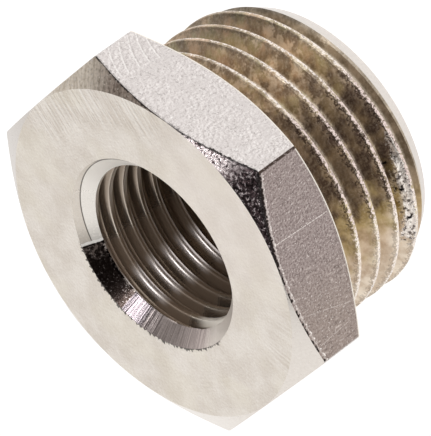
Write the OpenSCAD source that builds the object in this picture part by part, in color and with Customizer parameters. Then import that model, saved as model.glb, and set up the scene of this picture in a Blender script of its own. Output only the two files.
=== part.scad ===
// Reducing nipple: a hexagon head with a long male pipe thread, bored and tapped through
// with a smaller female pipe thread. It stands on the end face of the male thread, hexagon up.
// The origin is the centre of that end face and +Z runs along the bore towards the hexagon.

/* [Hexagon] */
// Width across flats, the spanner size
hex_af = 24; // [23:0.5:32]
// Thickness of the hexagon, from its face to its back
hex_thickness = 5.4; // [4:0.1:12]
// Slope of the corner chamfers, measured from the hexagon's face
corner_chamfer_angle = 30; // [15:1:35]
// Distance from the flats to the circle where the corner chamfers start
corner_chamfer_inset = 0.1; // [0.05:0.05:0.5]

/* [Male thread] */
// Major diameter, over the crests
male_major_d = 20.955; // [20:0.001:22.5]
// Pitch, 14 threads to the inch
male_pitch = 1.8143; // [1.5:0.0001:2.3]
// Length from the back of the hexagon to the end face
male_length = 10.2; // [8:0.1:20]
// Distance from the end face to the first crest, which the lead chamfer cuts
male_first_crest = 0.56; // [0.2:0.02:1.2]
// Slope of the lead chamfer, measured from the axis
lead_chamfer_angle = 30; // [25:1:45]
// Width of the relief groove at the back of the hexagon
relief_width = 1.2; // [0.6:0.1:2]
// Depth of the relief groove below the roots of the thread
relief_depth = 0.2; // [0.05:0.05:0.4]
// Radial gap between the crests and the flat sealing ring at the back of the hexagon
shoulder_gap = 0.1; // [0.05:0.05:0.3]

/* [Female thread] */
// Major diameter, over the roots
female_major_d = 13.157; // [12.5:0.001:13.6]
// Diameter that the hole is drilled to, which is left as the crests
female_drill_d = 11.8; // [11.4:0.05:12]
// Pitch, 19 threads to the inch
female_pitch = 1.3368; // [0.9:0.0001:1.5]
// Distance from the hexagon's face to the centre of the first root
female_first_root = 0.8; // [0.6:0.05:1.2]
// Diameter of the countersink in the hexagon's face
face_countersink_d = 13.9; // [13.7:0.1:15]
// Diameter of the countersink in the end face
end_countersink_d = 13.5; // [13.2:0.1:14.5]
// Included angle of both countersinks
countersink_angle = 90; // [60:5:120]

/* [Hidden] */
$fn = 120;

nickel = [0.82, 0.79, 0.74];
// Flank angle of the pipe thread form, and its depth as a share of the pitch
flank_angle = 27.5;
depth_per_pitch = 0.640327;
// Flat at each crest and root as a share of the pitch
flat_per_pitch = 1 / 6;
// How far a cutting or trimming shape runs past the metal
run_out = 1;

total_length = male_length + hex_thickness;
hex_corner_r = hex_af / 2 / cos(30);
hex_face_r = hex_af / 2 - corner_chamfer_inset;
male_crest_r = male_major_d / 2;
male_root_r = male_crest_r - depth_per_pitch * male_pitch;
relief_r = male_root_r - relief_depth;
female_crest_r = female_drill_d / 2;
female_root_r = female_major_d / 2;

// One side of a ring thread seen in section, from first_z upwards: [radius, height] points of
// count grooves and lands, with the flat of half_flat to each side of land_r at every pitch
function ring_thread(first_z, pitch, count, land_r, groove_r, half_flat) =
    let (flank = abs(land_r - groove_r) * tan(flank_angle))
    [
        for (i = [0 : count - 1])
        let (z = first_z + i * pitch)
        each [
            [groove_r, z - half_flat - flank],
            [land_r, z - half_flat],
            [land_r, z + half_flat],
            [groove_r, z + half_flat + flank]
        ]
    ];

// Hexagon with its corners turned off on both sides, its back at height 0
module hex_head() {
    reach_r = hex_corner_r + run_out;
    drop = (reach_r - hex_face_r) * tan(corner_chamfer_angle);
    intersection() {
        cylinder(r = hex_corner_r, h = hex_thickness, $fn = 6);
        rotate_extrude()
            polygon([
                [0, 0],
                [hex_face_r, 0],
                [reach_r, drop],
                [reach_r, hex_thickness - drop],
                [hex_face_r, hex_thickness],
                [0, hex_thickness]
            ]);
    }
}

// Male end: crests and roots at the thread's pitch, trimmed by the lead chamfer and by the
// relief groove next to the hexagon, whose two sides slope at the angle of the thread's flanks
module male_spigot() {
    relief_z = male_length - relief_width;
    crest_count = floor((relief_z - male_first_crest) / male_pitch) + 1;
    thread = ring_thread(male_first_crest, male_pitch, crest_count, male_crest_r, male_root_r,
        flat_per_pitch * male_pitch / 2);
    lead_length = (male_crest_r - male_root_r) / tan(lead_chamfer_angle);
    crest_side = (male_crest_r - relief_r) * tan(flank_angle);
    shoulder_r = male_crest_r + shoulder_gap;
    shoulder_side = (shoulder_r - relief_r) * tan(flank_angle);
    rotate_extrude()
        union() {
            intersection() {
                polygon(concat(
                    [[0, -run_out], [male_root_r, -run_out]],
                    thread,
                    [[male_root_r, total_length], [0, total_length]]
                ));
                polygon([
                    [0, 0],
                    [male_root_r, 0],
                    [male_crest_r, lead_length],
                    [male_crest_r, relief_z - crest_side],
                    [relief_r, relief_z],
                    [relief_r, male_length],
                    [0, male_length]
                ]);
            }
            polygon([
                [0, male_length - shoulder_side],
                [relief_r, male_length - shoulder_side],
                [shoulder_r, male_length],
                [0, male_length]
            ]);
        }
}

// What the drill, the tap and the two countersinks take out, all in one turn
module tapped_bore() {
    root_count = floor((total_length - female_first_root) / female_pitch);
    last_root_z = total_length - female_first_root - (root_count - 1) * female_pitch;
    thread = ring_thread(last_root_z, female_pitch, root_count, female_root_r, female_crest_r,
        flat_per_pitch * female_pitch / 2);
    sink_slope = tan(countersink_angle / 2);
    rotate_extrude()
        union() {
            polygon(concat(
                [[0, -run_out], [female_crest_r, -run_out]],
                thread,
                [[female_crest_r, total_length + run_out], [0, total_length + run_out]]
            ));
            countersink(end_countersink_d / 2, 0, 1, sink_slope);
            countersink(face_countersink_d / 2, total_length, -1, sink_slope);
        }
}

// Section of a countersink of radius mouth_r at height z, running into the metal along side
module countersink(mouth_r, z, side, slope) {
    polygon([
        [0, z - side * run_out],
        [mouth_r + run_out * slope, z - side * run_out],
        [0, z + side * mouth_r / slope]
    ]);
}

module reducing_nipple() {
    color(nickel)
        difference() {
            union() {
                translate([0, 0, male_length])
                    hex_head();
                male_spigot();
            }
            tapped_bore();
        }
}

reducing_nipple();
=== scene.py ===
# %% [markdown]
# # A hexagon-headed reducing nipple
#
# The object is one piece of nickel-plated brass, 15.6 mm tall: a hexagon head, a long male pipe
# thread and a smaller female pipe thread tapped through it. It stands on the end of its male
# thread. We start by loading the imported CAD part, which fixes the frame and the sizes.

import math
from functools import partialmethod

import bpy
import numpy as np
from mathutils import Matrix, Vector


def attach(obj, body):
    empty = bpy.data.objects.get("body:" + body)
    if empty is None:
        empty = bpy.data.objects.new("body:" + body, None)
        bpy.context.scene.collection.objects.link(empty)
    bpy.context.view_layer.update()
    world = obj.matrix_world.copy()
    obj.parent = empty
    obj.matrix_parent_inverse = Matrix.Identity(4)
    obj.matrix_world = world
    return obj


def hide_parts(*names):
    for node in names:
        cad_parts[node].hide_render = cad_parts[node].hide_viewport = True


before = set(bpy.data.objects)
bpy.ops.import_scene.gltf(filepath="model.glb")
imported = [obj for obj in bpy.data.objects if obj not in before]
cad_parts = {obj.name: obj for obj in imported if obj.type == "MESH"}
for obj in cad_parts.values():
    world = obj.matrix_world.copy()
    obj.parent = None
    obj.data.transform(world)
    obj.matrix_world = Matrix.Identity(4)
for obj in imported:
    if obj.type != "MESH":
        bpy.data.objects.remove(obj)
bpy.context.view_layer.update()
NODE = "reducing_nipple"
MM = 0.001

# %% [markdown]
# ## The camera
#
# The photograph was taken from far away with a long lens, with the hexagon's face towards the
# camera and the thread running up to the right. Our part stands upright instead, so the camera
# looks down at it from 33 degrees and is rolled about its own axis by 126 degrees. We could place
# it with a Track To constraint, but building its three axes from the angles keeps every number
# in sight.

# %% Camera
SENSOR_MM = 36.0
FOCAL_IN_PICTURE_WIDTHS = 14.863
CAMERA_AIM_MM = (0.51, -2.00, 11.40)
CAMERA_DISTANCE_MM = 406.3
CAMERA_AZIMUTH = math.radians(-60.95)
CAMERA_ELEVATION = math.radians(33.036)
CAMERA_ROLL = math.radians(126.207)


def camera_matrix():
    """The camera's axes: backwards along azimuth and elevation, then right and up, rolled."""
    back = Vector((
        math.cos(CAMERA_ELEVATION) * math.cos(CAMERA_AZIMUTH),
        math.cos(CAMERA_ELEVATION) * math.sin(CAMERA_AZIMUTH),
        math.sin(CAMERA_ELEVATION),
    ))
    level_right = Vector((0, 0, 1)).cross(back).normalized()
    level_up = back.cross(level_right)
    right = math.cos(CAMERA_ROLL) * level_right - math.sin(CAMERA_ROLL) * level_up
    up = math.sin(CAMERA_ROLL) * level_right + math.cos(CAMERA_ROLL) * level_up
    place = (Vector(CAMERA_AIM_MM) + CAMERA_DISTANCE_MM * back) * MM
    matrix = Matrix((right, up, back)).transposed().to_4x4()
    matrix.translation = place
    return matrix


scene = bpy.context.scene
camera_data = bpy.data.cameras.new("camera")
camera_data.sensor_fit = "HORIZONTAL"
camera_data.sensor_width = SENSOR_MM
camera_data.lens = SENSOR_MM * FOCAL_IN_PICTURE_WIDTHS
camera_data.clip_start = 0.01
camera = bpy.data.objects.new("camera", camera_data)
camera.matrix_world = camera_matrix()
scene.collection.objects.link(camera)
scene.camera = camera
print("camera at", [round(v / MM, 1) for v in camera.location], "mm,",
      "lens", round(camera_data.lens), "mm")

# %% [markdown]
# ## Shader maths
#
# Every finish below is a pattern worked out from the place on the part: its distance from the
# axis, its angle round it and its height. One small class wraps a socket, so that such a pattern
# is written as a Python expression and each operator adds a Math node. Another holds the node
# tree and adds any other node from its type, its settings and its inputs.

# %% Numbers in a node tree


class Value:
    """One number in a node tree. Operators on it add Math nodes."""

    def __init__(self, graph, socket):
        self.graph = graph
        self.socket = socket

    def math(self, operation, *others):
        """The result of a Math node whose first input is this number."""
        node = self.graph.node(
            "ShaderNodeMath", {"operation": operation}, dict(enumerate((self, *others))))
        return Value(self.graph, node.outputs[0])

    def reflected(self, operation, other):
        """The same with this number second."""
        node = self.graph.node("ShaderNodeMath", {"operation": operation}, {0: other, 1: self})
        return Value(self.graph, node.outputs[0])

    # Each operator, with its reflected form for a plain number on its left
    __add__, __radd__ = partialmethod(math, "ADD"), partialmethod(reflected, "ADD")
    __sub__, __rsub__ = partialmethod(math, "SUBTRACT"), partialmethod(reflected, "SUBTRACT")
    __mul__, __rmul__ = partialmethod(math, "MULTIPLY"), partialmethod(reflected, "MULTIPLY")
    __truediv__, __rtruediv__ = partialmethod(math, "DIVIDE"), partialmethod(reflected, "DIVIDE")
    __pow__ = partialmethod(math, "POWER")

    def step(self, low, high):
        """0 below low, 1 above high, smooth between; low may be the larger, to fall instead."""
        node = self.graph.node(
            "ShaderNodeMapRange", {"interpolation_type": "SMOOTHSTEP", "clamp": True},
            {"Value": self, "From Min": min(low, high), "From Max": max(low, high)})
        ramp = Value(self.graph, node.outputs[0])
        return ramp if low < high else 1 - ramp

    def near(self, centre, half_width, softness):
        """1 within the half width of the centre, falling smoothly to 0 over the softness."""
        return (self - centre).math("ABSOLUTE").step(half_width + softness, half_width)

    def either(self, other):
        """The larger of two masks."""
        return self.math("MAXIMUM", other)


print("a Value takes + - * / and **")

# %% Node trees and paint


class Graph:
    """The node tree of a material or of the world."""

    def __init__(self, owner):
        owner.use_nodes = True
        self.tree = owner.node_tree
        self.tree.nodes.clear()

    def node(self, kind, settings=None, inputs=None):
        """Adds a node of this type, with its settings first and then its sockets' values or links."""
        node = self.tree.nodes.new(kind)
        for name, value in (settings or {}).items():
            setattr(node, name, value)
        for name, value in (inputs or {}).items():
            socket = node.inputs[name]
            value = getattr(value, "socket", value)
            if isinstance(value, bpy.types.NodeSocket):
                self.tree.links.new(value, socket)
            else:
                socket.default_value = value
        return node

    def vector(self, x, y, z):
        """Three numbers as one place."""
        return self.node("ShaderNodeCombineXYZ", {}, {0: x, 1: y, 2: z}).outputs[0]

    def noise(self, vector, scale, detail=2.0, roughness=0.5):
        """A cloudy pattern from 0 to 1, mostly near a half."""
        node = self.node(
            "ShaderNodeTexNoise", {},
            {"Vector": vector, "Scale": scale, "Detail": detail, "Roughness": roughness})
        return Value(self, node.outputs[0])

    def mix(self, factor, colour_a, colour_b):
        """Colour a where the factor is 0 and colour b where it is 1."""
        node = self.node(
            "ShaderNodeMix", {"data_type": "RGBA", "clamp_factor": True},
            {0: factor, 6: colour_a, 7: colour_b})
        return node.outputs[2]


def paint(red, green, blue):
    """A colour as it is seen on a screen, 0 to 255, turned into light from 0 to 1.

    That is the screen's own curve: a power of 2.4, with a straight line near black.
    """
    seen = np.array([red, green, blue]) / 255
    light = np.where(seen > 0.04045, ((seen + 0.055) / 1.055) ** 2.4, seen / 12.92)
    return (*(float(v) for v in light), 1.0)


print("light of the face's silver:", [round(v, 2) for v in paint(217, 207, 195)])

# %% [markdown]
# ## The studio
#
# Polished metal shows what is round it, so the room matters as much as the metal. The photograph
# has a white room with a dark patch over the hexagon's face, which is what turns two corner
# chamfers and the thread's flanks dark, and one lamp inside that patch, which leaves a row of
# bright dots in the bore. We could build soft boxes and black cards, but a world whose light
# depends on the direction alone gives the same reflections without noise. The floor is a plain
# pale sheet. It glows a little by itself, so that it looks white, and the rest of its light falls
# on it, so that it keeps the nipple's shadow.

# %% World
WHITE_ROOM = (1.0, 0.99, 0.975, 1.0)
DARK_PATCH = (0.03, 0.026, 0.024, 1.0)
# Centre of each dark patch, and the angles from it where it is full and where it ends
DARK_PATCHES = [
    ((0.12, -0.32, 0.94), 28, 47),
    ((0.25, 0.45, 0.857), 12, 46),
]


def towards(graph, direction, centre):
    """Cosine of the angle between a direction of view and the centre of a patch."""
    node = graph.node(
        "ShaderNodeVectorMath", {"operation": "DOT_PRODUCT"},
        {0: direction, 1: Vector(centre).normalized()})
    return Value(graph, node.outputs["Value"])


world = bpy.data.worlds.new("studio")
scene.world = world
sky = Graph(world)
direction = sky.node("ShaderNodeTexCoord").outputs["Generated"]
lit = 1.0
for centre, full_angle, end_angle in DARK_PATCHES:
    patch = towards(sky, direction, centre).step(
        math.cos(math.radians(end_angle)), math.cos(math.radians(full_angle)))
    lit = (1 - patch) * lit
room = sky.node("ShaderNodeBackground", {}, {"Color": sky.mix(lit, DARK_PATCH, WHITE_ROOM)})
sky.node("ShaderNodeOutputWorld", {}, {"Surface": room.outputs[0]})
print("a white room with", len(DARK_PATCHES), "dark patches")

# %% Floor
FLOOR_HALF_SIDE = 3.0
# Just under the part, so that the two never share a plane
FLOOR_Z = -2e-5
FLOOR_GLOW = 0.93
FLOOR_PALE = (0.8, 0.79, 0.78, 1)
# Under the glow the floor is darker, so that the two together are white and a shadow still shows
FLOOR_DIM = (0.3, 0.3, 0.3, 1)

floor_corners = np.array([(-1, -1, 0), (1, -1, 0), (1, 1, 0), (-1, 1, 0)]) * FLOOR_HALF_SIDE
sheet_mesh = bpy.data.meshes.new("floor")
sheet_mesh.from_pydata((floor_corners + (0, 0, FLOOR_Z)).tolist(), [], [(0, 1, 2, 3)])
floor = bpy.data.objects.new("floor", sheet_mesh)
scene.collection.objects.link(floor)
floor_finish = bpy.data.materials.new("pale_floor")
ground = Graph(floor_finish)
rays = ground.node("ShaderNodeLightPath")
seen_directly = Value(ground, rays.outputs["Is Camera Ray"])
seen_in_metal = Value(ground, rays.outputs["Is Glossy Ray"])
seen_through = Value(ground, rays.outputs["Is Transmission Ray"])
matt = ground.node("ShaderNodeBsdfDiffuse", {}, {"Color": FLOOR_PALE})
dim_matt = ground.node("ShaderNodeBsdfDiffuse", {}, {"Color": FLOOR_DIM})
glow = ground.node("ShaderNodeEmission", {}, {"Color": (1, 1, 1, 1), "Strength": FLOOR_GLOW})
glowing = ground.node("ShaderNodeAddShader", {}, {0: dim_matt.outputs[0], 1: glow.outputs[0]})
sheet = ground.node(
    "ShaderNodeMixShader", {},
    {0: (seen_directly + seen_in_metal + seen_through).math("MINIMUM", 1.0),
     1: matt.outputs[0], 2: glowing.outputs[0]})
ground.node("ShaderNodeOutputMaterial", {}, {"Surface": sheet.outputs[0]})
floor.data.materials.append(floor_finish)
print("floor", 2 * FLOOR_HALF_SIDE, "m wide")

# %% Lamp
LAMP_DIRECTION = Vector((0.56, -0.20, 0.80)).normalized()
LAMP_DISTANCE = 0.6
LAMP_WIDTH = 0.16
LAMP_POWER = 0.52
lamp_data = bpy.data.lights.new("soft_box", "AREA")
lamp_data.shape = "DISK"
lamp_data.size = LAMP_WIDTH
lamp_data.energy = LAMP_POWER
lamp = bpy.data.objects.new("soft_box", lamp_data)
lamp.location = LAMP_DIRECTION * LAMP_DISTANCE
lamp.rotation_euler = (-LAMP_DIRECTION).to_track_quat("-Z", "Y").to_euler()
scene.collection.objects.link(lamp)

scene.view_settings.view_transform = "Standard"
print("one soft lamp,", LAMP_WIDTH, "m wide")

# %% [markdown]
# ## Sizes
#
# These are the CAD part's own sizes, in millimetres, with the circle where the corner chamfers
# start let out by the 0.07 mm that the photograph asks for, and the corners broken by 0.06 mm.
# Height is measured from the end of the male thread, which stands on the floor, and angles run
# counter-clockwise from the corner on +X, seen from the hexagon's side.

# %% Sizes
HEX_FLAT = 12.0
HEX_CORNER = 13.80
FACE_Z = 15.6
BACK_Z = 10.2
FACE_EDGE_R = 11.97
CHAMFER_SLOPE = math.tan(math.radians(30))

# A pipe thread's depth and the radius of its roots as shares of its pitch, and half its angle
DEPTH_SHARE = 0.640327
ROOT_RADIUS = 0.137329
FLANK_ANGLE = math.radians(27.5)
FLANK = math.tan(FLANK_ANGLE)

MALE_CREST_R = 20.955 / 2
MALE_PITCH = 25.4 / 14
MALE_DEPTH = DEPTH_SHARE * MALE_PITCH
MALE_ROOT_R = MALE_CREST_R - MALE_DEPTH
MALE_CREST_Z = 8.126
LEAD_SLOPE = math.tan(math.radians(30))
RELIEF_R = MALE_ROOT_R - 0.2
RELIEF_Z = 9.0
SHOULDER_R = MALE_CREST_R + 0.1

FEMALE_CREST_R = 5.9
FEMALE_ROOT_R = 13.157 / 2
FEMALE_PITCH = 25.4 / 19
FEMALE_DEPTH = FEMALE_ROOT_R - FEMALE_CREST_R
FEMALE_CREST_Z = 12.83
FACE_SINK_R = 6.95
SINK_RIM_Z = FACE_Z - (FACE_SINK_R - FEMALE_CREST_R)
END_SINK_R = 6.75
print("male pitch", round(MALE_PITCH, 3), "mm, female pitch", round(FEMALE_PITCH, 3), "mm")

# %% [markdown]
# ## The surface as one grid
#
# The nipple is almost a turned shape: cut it with a half plane through its axis and the section
# is a closed outline, which changes only a little from one angle to the next. So its whole skin is
# a grid of two parameters, the angle round the axis and the place along the outline. Where there
# is a thread, the rows of the grid climb with it like the real cut, so that each crest and root
# stays sharp, and a row that would leave the thread's stretch is held at its end. Rings would be
# simpler, but they would cut the crests into steps. Afterwards every set of points that share a
# place becomes one point, which closes the seam and the ends.

# %% Columns
# Degrees from a corner to the columns near it, and how many even ones run between two corners
CORNER_STEPS = np.array([0.0, 0.41, 0.8, 1.3, 1.9, 2.7, 3.7, 4.9])
PLAIN_STEPS = 37


def columns():
    """Angles of the grid's columns for a whole turn: close together at each corner, even between."""
    plain = np.linspace(CORNER_STEPS[-1], 60 - CORNER_STEPS[-1], PLAIN_STEPS)[1:-1]
    sector = np.concatenate([CORNER_STEPS, plain, 60 - CORNER_STEPS[:0:-1]])
    whole = (sector[None, :] + 60 * np.arange(6)[:, None]).ravel()
    return np.radians(np.append(whole, 360.0))


ANGLE = columns()
TURN = ANGLE / (2 * math.pi)
print(len(ANGLE) - 1, "columns round the axis")

# %% Rows


def ring(radius, height):
    """One row: a radius and a height, each a number or one value for each column."""
    return np.stack([
        np.broadcast_to(radius, ANGLE.shape),
        np.broadcast_to(height, ANGLE.shape),
    ])


def between(first, last, count):
    """Rows from one ring to another in count even steps, the last one left out."""
    share = np.arange(count)[:, None, None] / count
    return first + (last - first) * share


def climbing_heights(phases, crest_z, pitch, low, high):
    """Heights of rows that climb one pitch in a turn, held between low and high.

    Row k lies at crest_z + pitch * (phase k + angle / full turn), for whole turns below and above.
    """
    first = math.floor((low - crest_z) / pitch) - 2
    last = math.ceil((high - crest_z) / pitch) + 1
    steps = (np.arange(first, last + 1)[:, None] + np.asarray(phases)[None, :]).ravel()
    return np.clip(crest_z + pitch * (steps[:, None] + TURN[None, :]), low, high)


def cut_depth(height, crest_z, pitch, crest_half, full_depth, edge_rounding):
    """Depth of a pipe thread below its crests, as a share of its pitch.

    Away from a crest's flat the flank falls at 27.5 degrees from square, with its upper edge
    a little rounded, and a circle that touches both flanks rounds the root.
    """
    turns = height / pitch - crest_z / pitch - TURN
    x = np.abs(turns - np.round(turns))
    line = (x - crest_half) / FLANK
    flank = 0.5 * (line + np.sqrt(line ** 2 + edge_rounding ** 2))
    reach = np.clip(ROOT_RADIUS ** 2 - (0.5 - x) ** 2, 0, None)
    root = full_depth - ROOT_RADIUS + np.sqrt(reach)
    in_root = x > 0.5 - ROOT_RADIUS * math.cos(FLANK_ANGLE)
    return np.clip(np.where(in_root, root, flank), 0, full_depth)


def half_phases(stops):
    """Phases of a pitch's rows from those on one side of its crest, mirrored to the other side."""
    stops = np.asarray(stops)
    return np.concatenate([-stops[:0:-1], stops, [0.5]])


print("rows are rings or climb with a thread")

# %% [markdown]
# ### The male end
#
# The thread is a G 1/2: 14 turns to the inch, flanks at 55 degrees to each other. A lead chamfer
# cuts its first turn at the end, and a relief groove ends it behind the hexagon. Both are a
# largest radius that depends on the height alone, so the thread is the smaller of the two. The
# last full turn of the real one is torn where the die lifted the brass: on one stretch, the flank
# towards the hexagon is filled with rubble, which we add as a ragged floor under the groove.

# %% Male thread
# Half width of a crest, rounding of its edges and the rows beside it, as shares of the pitch
MALE_CREST_HALF = 1 / 12
MALE_EDGE_ROUNDING = 0.02
MALE_STOPS = [0, 0.045, 0.072, 0.088, 0.105, 0.19, 0.285, 0.378, 0.42, 0.46]
# Where the torn flank lies: middle and half width, in degrees and in mm
TORN_ANGLE, TORN_ANGLE_HALF = -101.0, 21.0
TORN_Z, TORN_Z_HALF = 2.58, 0.42
TORN_DEPTH = 0.20
WAVES = 8


def ripple(x, y, z, size, seed):
    """A smooth random wave over space, about -1 to 1: the sum of sine waves, each this long, in
    seeded directions and shifts, divided by half their number."""
    random = np.random.default_rng(seed)
    waves = random.normal(size=(WAVES, 3))
    waves /= np.linalg.norm(waves, axis=1)[:, None]
    shift = random.uniform(0, 2 * math.pi, WAVES)
    total = sum(
        np.sin((x * w[0] + y * w[1] + z * w[2]) * 2 * math.pi / size + s)
        for w, s in zip(waves, shift))
    return total / (WAVES / 2)


def male_radius(z):
    """Radius of the male end: the least of its thread, the lead chamfer and the relief.

    The thread is the crests less the cut's depth, and rubble where it is torn. The others are
    cones: one widens with height from the roots, one narrows up to the relief.
    """
    depth = cut_depth(
        z, MALE_CREST_Z, MALE_PITCH, MALE_CREST_HALF, MALE_DEPTH / MALE_PITCH, MALE_EDGE_ROUNDING)
    thread = MALE_CREST_R - MALE_PITCH * depth
    x, y = MALE_CREST_R * np.cos(ANGLE), MALE_CREST_R * np.sin(ANGLE)
    away = np.abs((np.degrees(ANGLE) - TORN_ANGLE + 180) % 360 - 180) / TORN_ANGLE_HALF
    fade = np.clip(1 - away ** 4, 0, 1) * np.clip(1 - ((z - TORN_Z) / TORN_Z_HALF) ** 4, 0, 1)
    rough = 0.5 * ripple(x, y, z, 1.1, 3) + 0.5 * ripple(x, y, z, 0.45, 4)
    rubble = MALE_CREST_R - TORN_DEPTH * (1 + 0.8 * np.clip(rough, -1, 1))
    thread = thread + fade * np.clip(rubble - thread, 0, None)
    lead = MALE_ROOT_R + z * LEAD_SLOPE
    relief = RELIEF_R + (RELIEF_Z - z) / FLANK
    return np.minimum(np.minimum(thread, lead), relief)


heights = climbing_heights(half_phases(MALE_STOPS), MALE_CREST_Z, MALE_PITCH, 0, RELIEF_Z)
male_rows = np.stack([male_radius(heights), heights], axis=1)
groove_top_z = BACK_Z - (SHOULDER_R - RELIEF_R) * FLANK
relief_rows = np.concatenate([
    between(ring(RELIEF_R, RELIEF_Z), ring(RELIEF_R, groove_top_z), 2),
    between(ring(RELIEF_R, groove_top_z), ring(SHOULDER_R, BACK_Z), 2),
])
print("male thread:", len(male_rows), "rows")

# %% [markdown]
# ### The hexagon
#
# At each angle the flat is 12 mm away measured square to it, so its distance along that angle is
# 12 divided by the cosine of the angle from the flat's middle. The corners are broken by a hair.
# A 30 degree cone turned on both ends meets each flat in the curved edge that every hexagon nut
# has, with no extra work: the cone's rows simply end at the flat.

# %% Hexagon
HALF_SECTOR = math.radians(30)


def hexagon_radius():
    """Distance to the flats along each column: flat / cos(angle off its middle), cut at corners."""
    from_corner = np.abs((ANGLE + HALF_SECTOR) % (2 * HALF_SECTOR) - HALF_SECTOR)
    off = HALF_SECTOR - from_corner
    return np.minimum(HEX_FLAT / np.cos(off), HEX_CORNER)


flat_r = hexagon_radius()
drop = (flat_r - FACE_EDGE_R) * CHAMFER_SLOPE
back_edge = ring(flat_r, BACK_Z + drop)
face_edge = ring(flat_r, FACE_Z - drop)
back_rows = between(ring(SHOULDER_R, BACK_Z), ring(FACE_EDGE_R, BACK_Z), 3)
back_chamfer_rows = between(ring(FACE_EDGE_R, BACK_Z), back_edge, 4)
flat_rows = between(back_edge, face_edge, 6)
face_chamfer_rows = between(face_edge, ring(FACE_EDGE_R, FACE_Z), 5)
face_rows = between(ring(FACE_EDGE_R, FACE_Z), ring(FACE_SINK_R, FACE_Z), 9)
print("hexagon: chamfer", round(float(drop.max()), 2), "mm deep at the corners")

# %% [markdown]
# ### The bore
#
# Inside is a G 1/4: 19 turns to the inch. The drilled hole leaves its crests with a broad flat,
# whose edges the tap has rounded. Both mouths are countersunk at 45 degrees. On the near side the
# cone in the hexagon's face is whole down to a sharp rim, and the thread starts under that rim, so
# its radius is held within a flank that falls away from the rim. Over a third of a turn the thread
# runs out through the cone instead. Nobody sees far into the bore, so its lower half has fewer rows.

# %% Female thread
# The same sizes as the male thread's, with fewer rows deep in the bore
FEMALE_CREST_HALF = 0.14
FEMALE_EDGE_ROUNDING = 0.11
FINE_STOPS = [0, 0.055, 0.09, 0.12, 0.145, 0.17, 0.20, 0.24, 0.31, 0.378, 0.44]
PLAIN_STOPS = [0, 0.12, 0.17, 0.378, 0.44]
BORE_MIDDLE_Z = 7.5
# Angles between which the thread opens through the countersink, and closes again
OPENS, CLOSES = (112, 138), (262, 322)
SINK_STEPS = 22


def smooth_step(x, low, high):
    """0 below low, 1 above high and 3t^2 - 2t^3 between, with t the share of the way."""
    t = np.clip((x - low) / (high - low), 0, 1)
    return t * t * (3 - 2 * t)


def female_radius(z):
    """Radius of the bore: its thread, held under the rim, or the countersink where that is more."""
    depth = cut_depth(
        z, FEMALE_CREST_Z, FEMALE_PITCH, FEMALE_CREST_HALF, FEMALE_DEPTH / FEMALE_PITCH,
        FEMALE_EDGE_ROUNDING)
    thread = FEMALE_CREST_R + FEMALE_PITCH * depth
    around = np.degrees(ANGLE)
    opened = smooth_step(around, *OPENS) * (1 - smooth_step(around, *CLOSES))
    under_rim = FEMALE_CREST_R + (SINK_RIM_Z - z) / FLANK + 3 * opened
    cones = np.maximum(FACE_SINK_R - (FACE_Z - z), END_SINK_R - z)
    return np.maximum(np.minimum(thread, under_rim), cones)


def bore_rows(stops, low, high):
    """Rows of the bore from high down to low."""
    z = climbing_heights(half_phases(stops), FEMALE_CREST_Z, FEMALE_PITCH, low, high)
    return np.stack([female_radius(z), z], axis=1)[::-1]


sink_z = np.linspace(FACE_Z, SINK_RIM_Z, SINK_STEPS + 1)[:-1, None] + np.zeros_like(ANGLE)
sink_rows = np.stack([female_radius(sink_z), sink_z], axis=1)
upper_bore_rows = bore_rows(FINE_STOPS, BORE_MIDDLE_Z, SINK_RIM_Z)
lower_bore_rows = bore_rows(PLAIN_STOPS, 0, BORE_MIDDLE_Z)
end_rows = between(ring(END_SINK_R, 0), ring(MALE_ROOT_R, 0), 4)
print("bore:", len(upper_bore_rows) + len(lower_bore_rows), "rows")

# %% [markdown]
# ### Closing the skin
#
# The stretches follow each other once round the section and back to the start. Each has the
# finish that its surface needs. Points that share a place are found by rounding them to a very
# fine grid, and a face that has lost its width this way is left out.

# %% Weld
# Step of the grid to which points are rounded, an odd size so that none lies half way
WELD_MM = 1.0371e-5
STRETCHES = [
    ("end", end_rows),
    ("male", male_rows),
    ("male", relief_rows),
    ("back", back_rows),
    ("back", back_chamfer_rows),
    ("flats", flat_rows),
    ("chamfers", face_chamfer_rows),
    ("face", face_rows),
    ("sink", sink_rows),
    ("bore", upper_bore_rows),
    ("bore", lower_bore_rows),
]
FINISHES = ["end", "male", "back", "flats", "chamfers", "face", "sink", "bore"]


def closed_skin(stretches):
    """Points, faces and each face's finish from rows of radius and height, closed both ways."""
    rows = np.concatenate([part for _, part in stretches])
    finish = np.concatenate([
        np.full(len(part), FINISHES.index(name)) for name, part in stretches])
    radius, height = rows[:, 0], rows[:, 1]
    points = np.stack([radius * np.cos(ANGLE), radius * np.sin(ANGLE), height], axis=-1)
    keys = np.round(points / WELD_MM).astype(np.int64).reshape(-1, 3)
    _, first, welded = np.unique(keys, axis=0, return_index=True, return_inverse=True)
    index = welded.reshape(radius.shape)
    above = np.roll(index, -1, axis=0)
    quads = np.stack([index[:, :-1], index[:, 1:], above[:, 1:], above[:, :-1]], axis=-1)
    kinds = np.broadcast_to(finish[:, None], quads.shape[:2])
    return points.reshape(-1, 3)[first], quads.reshape(-1, 4), kinds.ravel()


def whole_faces(quads, kinds):
    """Faces as lists without repeated points, leaving out those with fewer than three."""
    same = quads == np.roll(quads, -1, axis=1)
    corners = 4 - same.sum(axis=1)
    crossed = (quads[:, 0] == quads[:, 2]) | (quads[:, 1] == quads[:, 3])
    keep_four = (corners == 4) & ~crossed
    keep_three = (corners == 3) & ~crossed
    three = quads[keep_three][~same[keep_three]].reshape(-1, 3)
    faces = quads[keep_four].tolist() + three.tolist()
    return faces, np.concatenate([kinds[keep_four], kinds[keep_three]])


points, quads, kinds = closed_skin(STRETCHES)
faces, kinds = whole_faces(quads, kinds)
print(len(points), "points,", len(faces), "faces")

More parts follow.
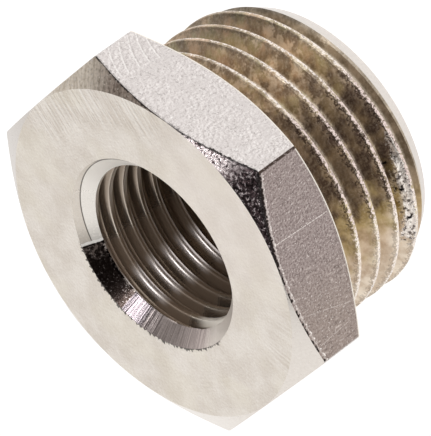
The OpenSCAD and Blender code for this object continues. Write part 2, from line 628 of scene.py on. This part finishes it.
# %% Mesh
# Two faces that meet at more than this have a sharp edge
SHARP_ANGLE = math.radians(24)


def enclosed_volume(mesh):
    """Volume inside a closed mesh in cubic mm, negative where its faces point inwards.

    A sixth of the sum, over its triangles with corners a, b and c, of a times (b cross c).
    """
    mesh.calc_loop_triangles()
    corner = np.empty(len(mesh.loop_triangles) * 3, dtype=np.int32)
    mesh.loop_triangles.foreach_get("vertices", corner)
    place = np.empty(len(mesh.vertices) * 3, dtype=np.float32)
    mesh.vertices.foreach_get("co", place)
    a, b, c = place.reshape(-1, 3)[corner.reshape(-1, 3)].transpose(1, 0, 2).astype(float)
    return float(np.einsum("ij,ij->i", a, np.cross(b, c)).sum() / 6 / MM ** 3)


skin = bpy.data.meshes.new("nipple")
skin.from_pydata((points * MM).tolist(), [], faces)
skin.polygons.foreach_set("material_index", kinds.astype(np.int32))
if enclosed_volume(skin) < 0:
    skin.flip_normals()
skin.shade_smooth()
skin.set_sharp_from_angle(angle=SHARP_ANGLE)
skin.update()
nipple = bpy.data.objects.new("nipple", skin)
scene.collection.objects.link(nipple)
triangles = len(skin.loop_triangles)
print("volume", round(enclosed_volume(skin), 1), "mm3,", triangles, "triangles")

# %% [markdown]
# ## Finishes
#
# All of it is one bright nickel plate over brass, yet each surface was cut by another tool and
# kept that tool's marks: the face was turned, the flats were milled, the corners and the
# countersink chattered, and the plate is thin and brownish down in the male grooves. So each
# surface gets its own finish from the same starting point, a metal whose colour, roughness and
# small bumps vary with the place on the part.

# %% Places on the part


class Finish(Graph):
    """A metal finish. Its patterns read the place on the part, in millimetres and degrees."""

    def __init__(self, name):
        self.material = bpy.data.materials.new(name)
        super().__init__(self.material)
        place = self.node("ShaderNodeTexCoord").outputs["Object"]
        self.place = self.node(
            "ShaderNodeVectorMath", {"operation": "SCALE"}, {0: place, "Scale": 1 / MM}).outputs[0]
        parts = self.node("ShaderNodeSeparateXYZ", {}, {0: self.place})
        self.x, self.y, self.z = (Value(self, socket) for socket in parts.outputs)
        self.radius = (self.x * self.x + self.y * self.y) ** 0.5
        self.angle = self.y.math("ARCTAN2", self.x) * (180 / math.pi)
        self.way_x = self.x / self.radius
        self.way_y = self.y / self.radius

    def wrapped(self, start):
        """The angle round the axis, counted through a whole turn from this one."""
        return self.angle.math("WRAP", start + 360, start)

    def along(self, degrees):
        """Distance in mm from the axis in this direction, square to the axis."""
        angle = math.radians(degrees)
        return self.x * math.cos(angle) + self.y * math.sin(angle)

    def phase(self, crest_z, pitch):
        """How far a place lies past the nearest crest of a thread, in pitches, up positive."""
        turns = self.z / pitch - self.angle / 360 - crest_z / pitch
        return turns.math("WRAP", 0.5, -0.5)

    def cloud(self, scale, detail, roughness=0.5):
        """Noise on the plain place: round spots, about this many of them to a mm."""
        return self.noise(self.place, scale, detail, roughness)

    def spokes(self, across_radius, round_axis, detail, roughness=0.5):
        """Noise in strokes that point at the axis: fine round it and coarse across the radius."""
        place = self.vector(
            self.way_x * round_axis + self.radius * across_radius, self.way_y * round_axis, 0)
        return self.noise(place, 1.0, detail, roughness)

    def emboss(self, scale, shift):
        """Painted highlights and shade on the sides of small bumps: noise here less noise a short
        shift away, about 0.
        """
        moved = self.node("ShaderNodeVectorMath", {"operation": "ADD"}, {0: self.place, 1: shift})
        return self.cloud(scale, 2, 0.6) - self.noise(moved.outputs[0], scale, 2, 0.6)

    def coats(self, colour, *layers):
        """The colour under these layers, each a mask and the colour that shows where it is 1."""
        for mask, layer in layers:
            colour = self.mix(mask, colour, layer)
        return colour

    def metal(self, colour, roughness, relief, relief_depth, metallic=1.0):
        """Closes the finish with a metal of this colour and roughness, and its relief in mm."""
        bump = self.node(
            "ShaderNodeBump", {},
            {"Strength": 1.0, "Distance": relief_depth * MM, "Height": relief})
        shader = self.node(
            "ShaderNodeBsdfPrincipled", {},
            {"Base Color": colour, "Metallic": metallic, "Roughness": roughness,
             "Normal": bump.outputs[0]})
        self.node("ShaderNodeOutputMaterial", {}, {"Surface": shader.outputs[0]})
        print(self.material.name, "is made of", len(self.tree.nodes), "nodes")
        return self.material


print("a finish reads the place on the part")

# %% [markdown]
# ### The face
#
# The hexagon's face was turned in a lathe and then plated: warm silver with a fine grain and faint
# rings. Next to two corners the tool chattered, which left short strokes across its path. Noise
# on the plain place gives the grain, noise on the distance from the axis alone gives rings, and
# noise stretched round the axis gives strokes that point at the axis. The colours are laid over
# each other like coats of paint, each through its own mask.

# %% Face
# Direction of the hatched strokes next to the first corner
HATCH_WAY = 20


def face_finish():
    """Turned face: warm silver with fine grain, faint rings, chatter at two corners and painted bump
    shade.
    """
    f = Finish("turned_face")
    clouds = f.cloud(0.45, 3).step(0.35, 0.65)
    grain = f.cloud(6.5, 3, 0.7).step(0.3, 0.7)
    # Painted highlights and shade on small bumps
    pebble_shading = f.emboss(5.5, (0.05, -0.06, 0))
    rings = f.noise(f.vector(f.radius * 6, 0, 0), 1.0, 2)
    hatch_place = f.vector(f.along(HATCH_WAY + 90) * 6.0, f.along(HATCH_WAY) * 0.3, 0)
    hatch = f.noise(hatch_place, 1.0, 0).step(0.35, 0.65)
    chatter = f.spokes(0.4, 50, 2).step(0.3, 0.7)
    near_first = f.angle.near(6, 26, 16) * f.radius.step(8.6, 10.2)
    near_third = f.angle.near(-118, 8, 10) * f.radius.step(9.4, 10.8)
    strokes = (hatch - 0.5) * near_first * 0.5 + (chatter - 0.5) * (0.05 + 0.4 * near_third)
    shade = clouds * 0.4 + grain * 0.4 + rings * 0.15 + 0.03 + strokes + pebble_shading * 0.9
    tinge = f.cloud(0.3, 2).step(0.42, 0.62)
    ragged = f.spokes(0.5, 42, 2)
    reach = f.radius - FACE_SINK_R - (ragged - 0.42).math("MAXIMUM", 0) * 0.9
    teeth = reach.step(0.035, 0.005) * f.wrapped(0).near(152, 58, 6)
    colour = f.coats(
        f.mix(shade, paint(222, 212, 201), paint(253, 247, 240)),
        (tinge * 0.15, paint(236, 228, 200)),
        (f.angle.near(-65, 15, 35) * 0.4, paint(250, 240, 232)),
        (teeth * 0.85, paint(52, 43, 40)))
    return f.metal(colour, 0.28 + 0.12 * grain, grain + rings + hatch * near_first, 0.007)


turned_face = face_finish()

# %% [markdown]
# ### The flats
#
# The flats were milled, so they carry the small marks of a cutter and of handling: pits, creases
# and scratches, with a ragged burr where they meet the corner chamfers. A scratch could be a
# groove in the mesh, but a hair of 0.04 mm needs only colour: it is every place whose distance
# from a line is small. The flat that faces -Y is painted darker than the others, a painted dark
# reflection.

# %% Marks on the flats
RIGHT_FLAT = -90
TOP_FLAT = -30
# Marks on two flats: from a place along the flat and a height to another, half width and bow
LONG_SCRATCHES = [
    ((1.98, 15.23), (1.75, 10.32), 0.026, 0.0),
]
FAINT_SCRATCHES = [
    ((2.25, 13.07), (3.02, 11.53), 0.020, 0.0),
    ((-5.77, 14.5), (-5.53, 11.57), 0.020, 0.0),
    ((-3.47, 14.47), (-4.68, 10.3), 0.020, 0.0),
]
TOOL_ARCS = [
    ((6.90, 13.40), (4.40, 14.75), 0.045, 0.16),
    ((6.85, 12.50), (4.30, 14.20), 0.045, 0.16),
    ((6.80, 11.75), (4.20, 13.30), 0.045, 0.16),
    ((6.70, 11.15), (4.10, 12.50), 0.045, 0.16),
    ((6.50, 10.65), (3.90, 11.75), 0.040, 0.16),
    ((-5.23, 13.92), (-5.81, 11.15), 0.030, 0.0),
]


def near_line(across, along, start, end, half_width, bow):
    """1 on the line from start to end, bowed to one side in its middle, 0 beyond its half width."""
    run, rise = end[0] - start[0], end[1] - start[1]
    length = math.hypot(run, rise)
    way = (across - start[0]) * (run / length) + (along - start[1]) * (rise / length)
    side = (across - start[0]) * (rise / length) - (along - start[1]) * (run / length)
    if bow:
        side = side - way * (length - way) * (4 * bow / length ** 2)
    inside = way.step(0, 0.2) * way.step(length, length - 0.2)
    return side.near(0, half_width * 0.5, half_width) * inside


def marks(across, along, lines):
    """All the lines of a list in one mask."""
    mask = near_line(across, along, *lines[0])
    for line in lines[1:]:
        mask = mask.either(near_line(across, along, *line))
    return mask


print(len(LONG_SCRATCHES + FAINT_SCRATCHES), "scratches and", len(TOOL_ARCS), "arcs of the tool")

# %% Bright flats and the one painted darker
# From the painted highlight on a tool arc to the painted shadow beside it
ARC_SHADOW = 0.12


def bright_flats(f, grain, lines):
    """Pinkish silver, pebbled and creased, with painted bump shade, and the tool's arcs near the first
    corner as painted highlights with painted shadows.
    """
    clouds = f.cloud(0.9, 3)
    # Painted highlights and shade on the pebbles
    pebble_shading = f.emboss(4.2, (0.04, 0.07, 0.05)) * (0.6 + 1.4 * clouds.step(0.36, 0.60))
    shade = grain * 0.3 + clouds * 0.3 + 0.18 + pebble_shading
    pits = f.cloud(3.4, 2, 0.6)
    across = f.along(TOP_FLAT + 90)
    here = f.along(TOP_FLAT).step(11.2, 11.9) * grain.step(0.0, 0.4)
    return f.coats(
        f.mix(shade, paint(194, 186, 183), paint(243, 237, 234)),
        (lines * pits.step(0.47, 0.55) * 0.6, paint(150, 141, 138)),
        (pits.step(0.64, 0.70) * 0.5, paint(255, 252, 248)),
        # Each tool arc: a painted shadow beside it, then a painted highlight on it
        (marks(across, f.z + ARC_SHADOW, TOOL_ARCS) * here * 0.28, paint(160, 152, 148)),
        (marks(across, f.z, TOOL_ARCS) * here * 0.5, paint(255, 252, 248)))


def darkened_flat(f, grain, lines):
    """Painted darker as a dark reflection: pinkish grey with dark and light pits, strokes along the
    axis, a few long scratches and painted bump shade.
    """
    ticks = f.cloud(7.0, 2, 0.65)
    strokes = f.noise(f.vector(f.x * 6, 0, f.z * 1.3), 1.0, 2)
    low = f.x.step(1.0, -5.0)
    # Painted highlights and shade on small bumps
    shade = grain * 0.8 + 0.12 + f.emboss(6.0, (0.06, 0, 0.04)) * 1.8
    worn = grain.step(0.1, 0.6)
    return f.coats(
        f.mix(shade, paint(122, 108, 105), paint(180, 166, 162)),
        (low * 0.45, paint(160, 145, 133)),
        (strokes.step(0.42, 0.32) * (0.30 + 0.2 * low), paint(92, 80, 74)),
        (strokes.step(0.60, 0.70) * (0.30 + 0.3 * low), paint(220, 208, 200)),
        (ticks.step(0.39, 0.32) * 0.7, paint(80, 68, 64)),
        (ticks.step(0.61, 0.68) * 0.8, paint(240, 231, 226)),
        (lines * 0.35, paint(100, 88, 84)),
        (marks(f.x, f.z, FAINT_SCRATCHES) * worn * 0.6, paint(226, 216, 210)),
        (marks(f.x, f.z, LONG_SCRATCHES) * worn * 0.9, paint(240, 231, 225)))


# The flat that faces -Y is painted darker, a painted dark reflection
print("five flats are bright and the one that faces -Y is dull")

# %% Flats


def on_flat(f, degrees):
    """1 on the flat that faces this way, sharply: no neighbour reaches as far that way."""
    neighbours = f.along(degrees - 60).either(f.along(degrees + 60))
    return (f.along(degrees) - neighbours).step(0.0, 0.03)


def creases(f, scale, width):
    """Thin winding lines, where a cloudy pattern passes through its middle value."""
    return (f.cloud(scale, 2, 0.55) - 0.5).math("ABSOLUTE").step(width, 0)


def flats_finish():
    """Milled flats: bright ones, the one that faces -Y painted darker as a dark reflection, and ragged
    burrs along their edges.
    """
    f = Finish("milled_flats")
    grain = f.cloud(6.5, 3, 0.7).step(0.3, 0.7)
    lines = creases(f, 1.9, 0.022)
    # The flat that faces -Y, painted darker as a painted dark reflection
    darkened = on_flat(f, RIGHT_FLAT)
    top = on_flat(f, TOP_FLAT)
    below_edge = FACE_Z - (f.radius - FACE_EDGE_R) * CHAMFER_SLOPE - f.z
    above_back = f.z - BACK_Z - (f.radius - FACE_EDGE_R) * CHAMFER_SLOPE
    ragged = f.cloud(4.5, 2, 0.6)
    dots = f.noise(f.vector(f.x * 1.5, f.y * 1.5, 0), 1.0, 1).step(0.46, 0.52)
    whole = f.x.step(-0.4, 0.6)
    along_top = 0.35 + 0.6 * dots * f.x.step(10.5, 9.5)
    reach = below_edge - (ragged - 0.5) * 0.55 + 0.05 * top
    burr = reach.step(0.17, 0.10) * (darkened * dots.either(whole) + top * along_top)
    # A painted highlight in a thin ragged line beside the burr on the flat that faces -Y
    edge_highlight = (below_edge - (ragged - 0.5) * 0.5).near(0.24, 0.02, 0.06) * darkened
    second_corner = f.angle.near(-60.45, 0.25, 0.25) * ragged.step(0.34, 0.44) * darkened
    colour = f.coats(
        f.mix(darkened, bright_flats(f, grain, lines), darkened_flat(f, grain, lines)),
        (edge_highlight * (0.35 + 0.65 * ragged.step(0.52, 0.60)), paint(246, 238, 232)),
        (burr, paint(38, 31, 28)),
        # A painted highlight along the back edge of the flats
        (above_back.step(0.11, 0.05) * 0.85, paint(246, 239, 228)),
        (second_corner, paint(72, 60, 54)))
    relief = grain * 0.6 + lines * 0.5 + ragged * 1.5
    return f.metal(colour, 0.26 + 0.14 * grain, relief, 0.016)


milled_flats = flats_finish()

# %% [markdown]
# ### The corner chamfers
#
# A form tool took the corners off last, and it chattered. Two of the chamfers lie under the dark
# part of the room: the first is taupe and satin, the second painted dark as painted shade, with
# small bright blisters. Most blisters scatter light instead of mirroring it, so their mask also takes
# the metal's mirror away. In the tail, towards the top flat, they crowd together and lean outwards
# instead, and mirror the white room.

# %% Chamfers
# How much the tail's facets lean outwards, in steps of the relief per mm
TAIL_LEAN = 30


def chamfers_finish():
    """Corner chamfers: the first taupe and streaked, the second painted dark and blistered, the others
    silver.
    """
    f = Finish("chattered_corners")
    first = f.angle.near(-4, 22, 8)
    second = f.angle.near(-60, 29, 2)
    streaks = f.spokes(0.6, 55, 2, 0.6)
    grain = f.cloud(5.0, 2)
    blisters = f.cloud(5.2, 3, 0.65)
    ragged = f.cloud(4.0, 2, 0.6)
    silver = f.mix(grain, paint(218, 211, 204), paint(240, 234, 228))
    mixed = streaks * 0.5 + grain * 0.5
    taupe = f.mix(mixed.step(0.36, 0.64), paint(212, 198, 180), paint(252, 240, 225))
    dark_taupe = f.mix(mixed.step(0.38, 0.60), paint(126, 112, 102), paint(186, 170, 158))
    # Painted shade: the second chamfer painted dark
    painted_dark = f.mix(grain.step(0.35, 0.65), paint(46, 36, 37), paint(116, 99, 102))
    tail = (f.angle + (ragged - 0.5) * 12).step(-58.5, -51.5) * second
    sparse = blisters.step(0.54, 0.62) * (0.40 + 0.5 * grain)
    dense = (blisters + 0.12).step(0.54, 0.60) * tail
    # Blisters painted white as painted glints, with their mirror taken away
    bright = sparse.either(dense) * second
    inside_flat = HEX_FLAT - f.along(TOP_FLAT).either(f.along(RIGHT_FLAT))
    by_right_flat = (f.along(RIGHT_FLAT) - f.along(TOP_FLAT)).step(0.0, 0.1)
    wide = 0.05 + 0.14 * by_right_flat * f.angle.near(-64, 5, 6)
    burr = (inside_flat - (ragged - 0.5) * 0.36 - wide).step(0.06, 0.0) * first.either(second)
    colour = f.coats(
        silver,
        (f.angle.near(60, 20, 10) * 0.45, paint(176, 170, 166)),
        (first, f.mix(f.angle.step(5, -9), taupe, dark_taupe)),
        (f.cloud(4.4, 2, 0.6).step(0.60, 0.66) * first, paint(226, 216, 206)),
        (second, painted_dark),
        (bright, paint(250, 237, 238)),
        (burr * 0.9, paint(28, 21, 20)))
    satin = first.either(bright * (1 - tail)).either(burr) * 0.8
    leaning = (FACE_EDGE_R - f.radius) * TAIL_LEAN * tail
    relief = streaks * 0.5 + blisters * second * 4 + grain * 0.5 + leaning
    return f.metal(colour, 0.24 - 0.12 * second + 0.1 * grain, relief, 0.018, 1 - satin)


chattered_corners = chamfers_finish()

# %% [markdown]
# ### The male thread
#
# The plate is thin and brownish down in the grooves and rubbed bright along the crests. A pattern
# that follows a thread needs one more number, how far a place lies past the nearest crest in
# turns of the thread: the height in pitches less the angle in turns, wrapped to half a turn on
# each side. A crest's line is then everywhere that this phase is small, with a little noise added
# so that its edge is ragged. The angle chooses between the browner and the paler side.

# %% Grooves


def groove_colour(f, phase):
    """Brown plate in clouds: olive and orange, darker low on the side, yellow then pale at the end,
    with painted light and shade.
    """
    mottle = f.cloud(0.9, 2)
    cloudy = mottle.step(0.36, 0.62)
    hue = f.cloud(0.7, 2)
    grain = f.cloud(6.0, 3, 0.65).step(0.3, 0.7)
    # Painted highlights and shade on small flecks
    fleck_shading = f.emboss(3.4, (0.05, 0.08, 0.06))
    dark = f.mix(mottle.step(0.40, 0.64), paint(114, 99, 88), paint(172, 155, 132))
    orange_or_olive = f.mix(hue.step(0.40, 0.60), paint(208, 180, 152), paint(186, 172, 138))
    far = f.mix(cloudy, paint(152, 134, 114), orange_or_olive)
    yellow = f.mix(cloudy, paint(172, 154, 114), paint(212, 196, 158))
    pale = f.mix(cloudy, paint(202, 182, 160), paint(236, 222, 204))
    lightened_last_groove = f.mix(mottle.step(0.4, 0.6), paint(150, 137, 120), paint(190, 176, 158))
    wavering = f.angle + (hue - 0.5) * 60
    frost = f.cloud(0.85, 3, 0.7).step(0.50, 0.60) * f.angle.near(-34, 16, 12)
    shaded = phase.near(-0.32, 0.10, 0.12) * f.angle.near(-72, 22, 14)
    return f.coats(
        dark,
        (wavering.step(-58, -34), far),
        (frost * 0.7, paint(232, 216, 196)),
        (wavering.step(-88, -99), yellow),
        (wavering.step(-102, -118), pale),
        # Painted light: the last groove painted lighter where it faces away from the room
        (f.z.step(2.2, 1.9) * f.angle.step(-112, -100), lightened_last_groove),
        (shaded * 0.3, paint(70, 56, 54)),
        (grain * 0.16 + fleck_shading * 0.9, paint(240, 228, 210)))


print("the male grooves are", round(MALE_DEPTH, 2), "mm deep")

# %% Torn flank
# Pits in the torn flank: angle in degrees, height and half size in mm
TORN_PITS = [(-110.2, 2.52, 0.22), (-97.1, 2.83, 0.16), (-100.5, 2.62, 0.10), (-86.0, 3.0, 0.10)]


def torn_mask(f, phase, ragged):
    """1 on the torn flank, with a ragged edge."""
    reach = phase + (ragged - 0.5) * 0.30
    height = f.z.step(TORN_Z - 0.75, TORN_Z - 0.45) * f.z.step(TORN_Z + 0.85, TORN_Z + 0.55)
    narrowing = f.angle.step(TORN_ANGLE + 6, TORN_ANGLE + 26) * 0.26
    side = (f.angle + (ragged - 0.5) * 24).near(TORN_ANGLE + 2, TORN_ANGLE_HALF, 4)
    return reach.step(0.03, 0.06) * (reach + narrowing).step(0.44, 0.40) * height * side


def pit_mask(f, ticks, angle, height, size):
    """1 where the distance over the surface from a pit's middle, made ragged, is below its size."""
    across = (f.angle - angle) * (MALE_CREST_R * math.pi / 180)
    away = (across * across + (f.z - height) * (f.z - height)) ** 0.5
    return (away + (ticks - 0.5) * 0.5).step(size, size * 0.5)


print(len(TORN_PITS), "pits in the torn flank")

# %% Male thread finish


def male_finish():
    """Male thread: ragged bright crests with a dark line beside them, brown grooves, a torn flank."""
    f = Finish("cut_thread")
    phase = f.phase(MALE_CREST_Z, MALE_PITCH)
    worn = f.angle.near(-74, 18, 12)
    ragged = f.cloud(3.6, 3, 0.65)
    ticks = f.cloud(4.6, 2, 0.6)
    chips = f.cloud(5.0, 1)
    width = f.cloud(1.6, 1)
    wander = phase + (ragged - 0.5) * (0.26 + 0.10 * worn) + (chips - 0.5) * (0.20 + 0.10 * worn)
    shadow = wander.near(0.100, 0.026, 0.02) * (0.32 + 0.50 * worn) * ragged.step(0.36, 0.48)
    middle = wander + 0.045 + 0.06 * f.angle.step(-25, 0)
    gaps = ticks.step(0.50, 0.58) * (0.7 + 0.25 * worn)
    broader = 0.35 * worn + 0.75 * f.angle.step(-90, -104)
    crest = (middle / (0.6 + 0.9 * width + broader)).near(0, 0.048, 0.026) * (1 - gaps)
    bright = f.mix(worn, paint(250, 240, 231), paint(236, 218, 212))
    pitted = f.mix(ticks.step(0.46, 0.34) * 0.7, bright, paint(140, 122, 114))
    torn = torn_mask(f, phase, ragged)
    rubble = f.mix(ticks.step(0.40, 0.52), paint(84, 75, 73), paint(226, 217, 210))
    rubble = f.mix(chips.step(0.54, 0.64), rubble, paint(252, 246, 240))
    lead = (MALE_ROOT_R + f.z * LEAD_SLOPE - f.radius).step(0.03, 0.01) * f.z.step(2.3, 2.0)
    colour = f.coats(
        groove_colour(f, phase),
        (shadow, paint(62, 50, 45)),
        (crest, pitted),
        (torn * 0.92, rubble),
        *((pit_mask(f, ticks, *pit), paint(30, 25, 25)) for pit in TORN_PITS),
        (lead, f.mix(ticks, paint(212, 205, 199), paint(232, 226, 220))))
    relief = ragged * 2 + ticks * (1 + 3 * torn)
    return f.metal(colour, 0.30 + 0.15 * ticks, relief, 0.012)


cut_thread = male_finish()

# %% [markdown]
# ### The countersink
#
# The cone in the face is where the light plays most: cream beside the face, then a bright line
# where the tool stopped, painted almost black as painted shade under the dark part of the room,
# white streaks on black, fine grey lines that all point at the axis, and beige. Painting it as bands
# of angle, each with its own pattern, keeps every band where the photograph has it.

# %% Countersink
# Angles round the axis where the bands of the cone begin
TOOL_STOP, STREAKED_FROM, LINED_FROM, BEIGE_FROM = 92.3, 132, 146, 192
# The line that the tool scratched as it left: an angle and a radius on it, and its slope per degree
SPIRAL_ANGLE, SPIRAL_R, SPIRAL_SLOPE = 22.7, 6.82, -0.0058


def sink_finish():
    """Countersink: cream, a bright stop line, painted dark, white streaks, fine grey lines, then
    beige.
    """
    f = Finish("countersink")
    around = f.wrapped(-30)
    grain = f.cloud(6.0, 3, 0.65)
    ragged = f.cloud(4.5, 2, 0.6)
    lines = f.spokes(0.35, 62, 3, 0.65)
    fine = f.spokes(0.4, 170, 3, 0.75)
    spiral_r = (SPIRAL_R + SPIRAL_SLOPE * (around - SPIRAL_ANGLE)).math("MINIMUM", 6.88)
    outside = (f.radius - spiral_r).step(-0.02, 0.02)
    scratch = (f.radius - spiral_r).near(0, 0.018, 0.02) * around.step(TOOL_STOP, TOOL_STOP - 2)
    scratch = scratch.either(around.step(26, 14) * f.radius.near(6.90, 0.05, 0.03))
    cream = f.coats(
        f.mix(outside, paint(255, 250, 243), paint(232, 223, 212)),
        (grain.step(0.4, 0.7) * 0.25, paint(255, 250, 244)),
        (scratch * 0.85, paint(66, 56, 50)))
    smoke = ragged.step(0.44, 0.60) * around.step(106, 97)
    rim = (f.radius + (ragged - 0.5) * 0.4).step(6.05, 6.0)
    # Painted shade: the cone painted almost black under the dark part of the room
    painted_dark = f.coats(
        f.mix(smoke, paint(64, 54, 50), paint(124, 112, 106)),
        (ragged.step(0.52, 0.60) * 0.5, paint(104, 92, 88)),
        (grain.step(0.60, 0.68), paint(200, 190, 186)),
        (rim * 0.85, f.mix(ragged.step(0.48, 0.54), paint(30, 24, 22), paint(206, 194, 186))))
    # The streaks' near-black is a painted dark reflection; whiter moves by angle where it gives way to
    # lighter streaks, so the lamp's highlight falls there
    whiter = fine + around.step(131, 142) * 0.10 - around.step(142, 149) * 0.09
    streaked = f.mix(whiter.step(0.51, 0.55), paint(8, 6, 7), paint(176, 165, 170))
    beige = around.step(BEIGE_FROM, BEIGE_FROM + 16)
    lined = f.coats(
        f.mix(lines.step(0.38, 0.58), paint(92, 80, 80), paint(196, 184, 182)),
        (around.step(150, 162) * 0.5, paint(200, 186, 180)),
        (beige, paint(252, 242, 232)))
    tick = around.near(TOOL_STOP + (ragged - 0.5) * 2, 0.75, 0.3)
    run_out = (f.radius - FACE_SINK_R + FACE_Z - f.z).step(0.015, 0.04)
    colour = f.coats(
        cream,
        (around.step(TOOL_STOP + 0.6, TOOL_STOP + 1.0), painted_dark),
        ((around + (lines - 0.5) * 9).step(STREAKED_FROM, STREAKED_FROM + 1), streaked),
        ((around + (fine - 0.5) * 12).step(LINED_FROM, LINED_FROM + 3), lined),
        (tick, paint(255, 252, 248)),
        (around.near(TOOL_STOP + 1.6, 0.2, 0.3) * 0.8, paint(20, 15, 14)),
        (run_out, paint(238, 230, 220)))
    pale = around.step(TOOL_STOP + 1.2, TOOL_STOP + 0.9) * 0.5
    satin = pale.either(run_out * 0.5).either(smoke * 0.6).either(beige * 0.85).either(tick * 0.9)
    rough = 0.20 + 0.10 * grain + 0.30 * around.step(60, 30)
    relief = grain * 0.4 + lines * around.step(STREAKED_FROM - 4, STREAKED_FROM + 2)
    return f.metal(colour, rough, relief, 0.012, 1 - satin)


countersink = sink_finish()

# %% [markdown]
# ### The bore
#
# The tap left the flanks bright and the drill left the lands dull, so the phase of the female
# thread chooses between the two. Very fine lines along the thread come from noise on the phase
# alone. The lands are painted cream on one side as painted light and brown on the next as painted
# shade, and a pale crescent lies where the thread runs out through the countersink. Deeper in the
# bore, and on the flanks towards their roots, the colour is darker, as painted shade. Each turn
# carries a short painted glint, with painted shade beside it: there the lamp shows as a row of dots.

# %% Bore
# Angles round the axis: middle of the side painted cream as painted light, of the one painted brown as
# painted shade, of the painted glints where the lamp's dots fall, and of the crescent
CREAM_ANGLE, BROWN_ANGLE, DOTS_ANGLE, CRESCENT_ANGLE = 34, 122, 134, 204


def bore_finish():
    """Female thread: duller lands, bright flanks and roots with fine lines along them, painted shade,
    and painted glints where the lamp leaves a row of dots.
    """
    f = Finish("tapped_thread")
    phase = f.phase(FEMALE_CREST_Z, FEMALE_PITCH)
    around = f.wrapped(-30)
    grain = f.cloud(5.0, 3, 0.6)
    lines = f.noise(f.vector(phase * 26, f.angle * 0.02, 0), 1.0, 2)
    # Painted shade, darker deeper in the bore
    deep = f.z.step(12.5, 8.0)
    # Painted shade on the flanks towards their roots
    root_shade = phase.near(0.44, 0.24, 0.12).either(phase.near(-0.44, 0.10, 0.10))
    bright = f.coats(
        f.mix(grain * 0.5 + lines * 0.5, paint(206, 194, 180), paint(242, 233, 222)),
        (deep * 0.5, paint(140, 124, 110)),
        (root_shade * 0.8, paint(134, 117, 100)))
    # Painted light: the lands painted cream on one side and near the crescent
    cream = around.near(CREAM_ANGLE, 26, 26)
    cream = cream.either(around.near(CRESCENT_ANGLE, 16, 14) * f.z.step(12.9, 13.5))
    # Painted shade: the lands painted brown on the next side
    brown = around.near(BROWN_ANGLE, 36, 12) * (0.5 + 0.4 * f.z.step(13.0, 13.8))
    darkened = f.coats(
        f.mix(grain, paint(150, 130, 110), paint(196, 176, 154)),
        (deep * 0.4, paint(116, 98, 82)),
        (cream * 0.85, paint(253, 243, 230)),
        (brown, paint(74, 61, 51)))
    land = (phase + (grain - 0.5) * 0.03).near(-0.055, 0.12, 0.035)
    crescent = around.near(CRESCENT_ANGLE, 17, 14) * phase.near(0.12, 0.17, 0.07)
    crescent = crescent * f.z.step(13.1, 13.4)
    # Painted shade beside each glint, and the painted glint itself where the lamp's dots fall
    beside = f.angle.near(DOTS_ANGLE, 34, 6) * (1 - f.angle.near(DOTS_ANGLE, 6, 8))
    painted_glint = f.angle.near(DOTS_ANGLE, 7, 12) * phase.near(0.06, 0.14, 0.10)
    colour = f.coats(
        bright,
        (land, darkened),
        (crescent, paint(255, 247, 236)),
        (beside * 0.8, paint(136, 115, 97)),
        (painted_glint * 0.8, paint(252, 243, 240)))
    rough = 0.16 + 0.08 * grain + 0.12 * painted_glint.either(beside)
    mirror = (0.84 - 0.44 * land * (1 - painted_glint)) * (1 - 0.7 * crescent) * (1 - 0.5 * beside)
    return f.metal(colour, rough, lines + grain * 0.5, 0.005, mirror)


tapped_thread = bore_finish()

# %% [markdown]
# ### The surfaces out of view
#
# The photograph shows neither the male thread's end nor the hexagon's back. On such a fitting
# both are turned and plated, so one function gives both the face's silver and rings, more
# plainly. Then all the finishes go to the mesh.

# %% Plain finishes


def plain_finish(name):
    """Turned surfaces out of view: warm silver with fine rings."""
    f = Finish(name)
    rings = f.noise(f.vector(f.radius * 8, f.z * 8, 0), 1.0, 2)
    specks = f.cloud(5.0, 3, 0.6)
    colour = f.mix(0.5 * rings + 0.5 * specks, paint(212, 202, 192), paint(234, 226, 216))
    return f.metal(colour, 0.28 + 0.12 * specks, specks + rings, 0.006)


MATERIALS = {
    "end": plain_finish("turned_end"),
    "male": cut_thread,
    "back": plain_finish("turned_back"),
    "flats": milled_flats,
    "chamfers": chattered_corners,
    "face": turned_face,
    "sink": countersink,
    "bore": tapped_thread,
}
for name in FINISHES:
    skin.materials.append(MATERIALS[name])
print(len(skin.materials), "finishes")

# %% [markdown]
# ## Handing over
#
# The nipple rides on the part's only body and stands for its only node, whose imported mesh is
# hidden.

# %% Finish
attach(nipple, "root")
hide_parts(NODE)
print("the nipple rides on root and stands for", NODE)
